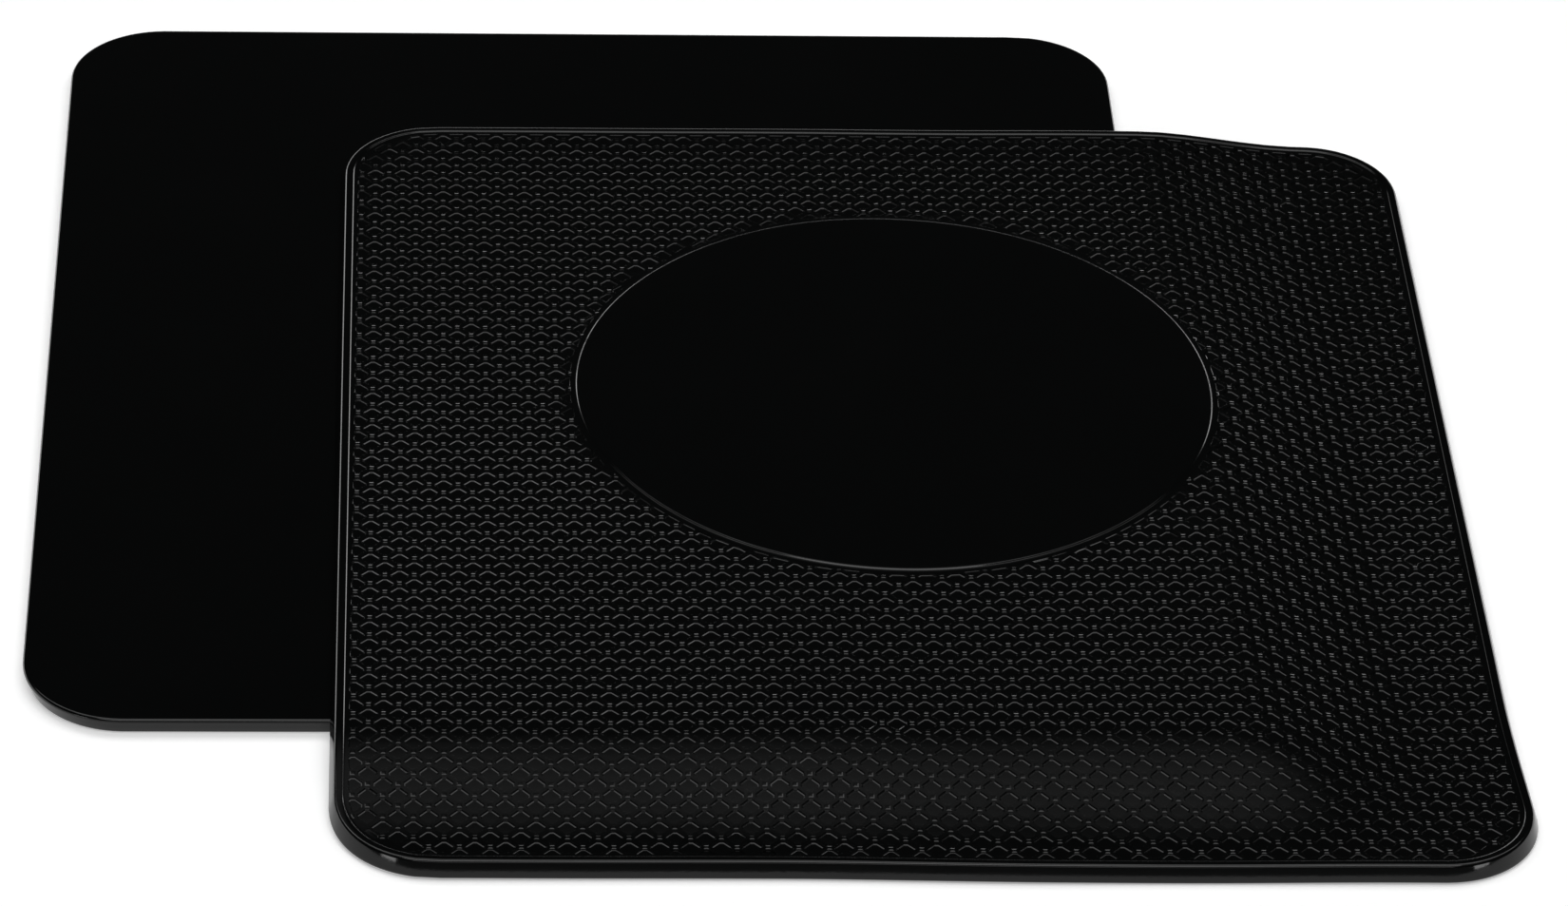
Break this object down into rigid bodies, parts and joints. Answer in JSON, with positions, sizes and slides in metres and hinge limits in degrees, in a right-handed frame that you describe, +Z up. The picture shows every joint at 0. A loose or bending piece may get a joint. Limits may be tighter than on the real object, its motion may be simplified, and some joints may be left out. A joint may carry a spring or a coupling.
{
  "type": "non-slip mat pair",
  "caption": "Pair of thin black non-slip rubber mats, one laid draped across the other, with a textured field, flat rim and smooth round pad for gripping small objects.",
  "frame": {"origin": "middle of the lower mat's underside, on the table", "axes": "+X to the right across the mats' width, +Y towards the mats' back edge, +Z up, away from the table"},
  "size_m": [0.2395, 0.254, 0.0061],
  "materials": {
    "black_rubber": "glossy, soft, slightly tacky"
  },
  "bodies": {
    "lower": {"lower_mat": "black_rubber"},
    "upper": {"upper_mat": "black_rubber"}
  },
  "joints": [
    {"name": "upper_lift", "type": "slide", "parent": "lower", "child": "upper", "axis": [0, 0, 1], "range_m": [0, 0.06]}
  ]
}
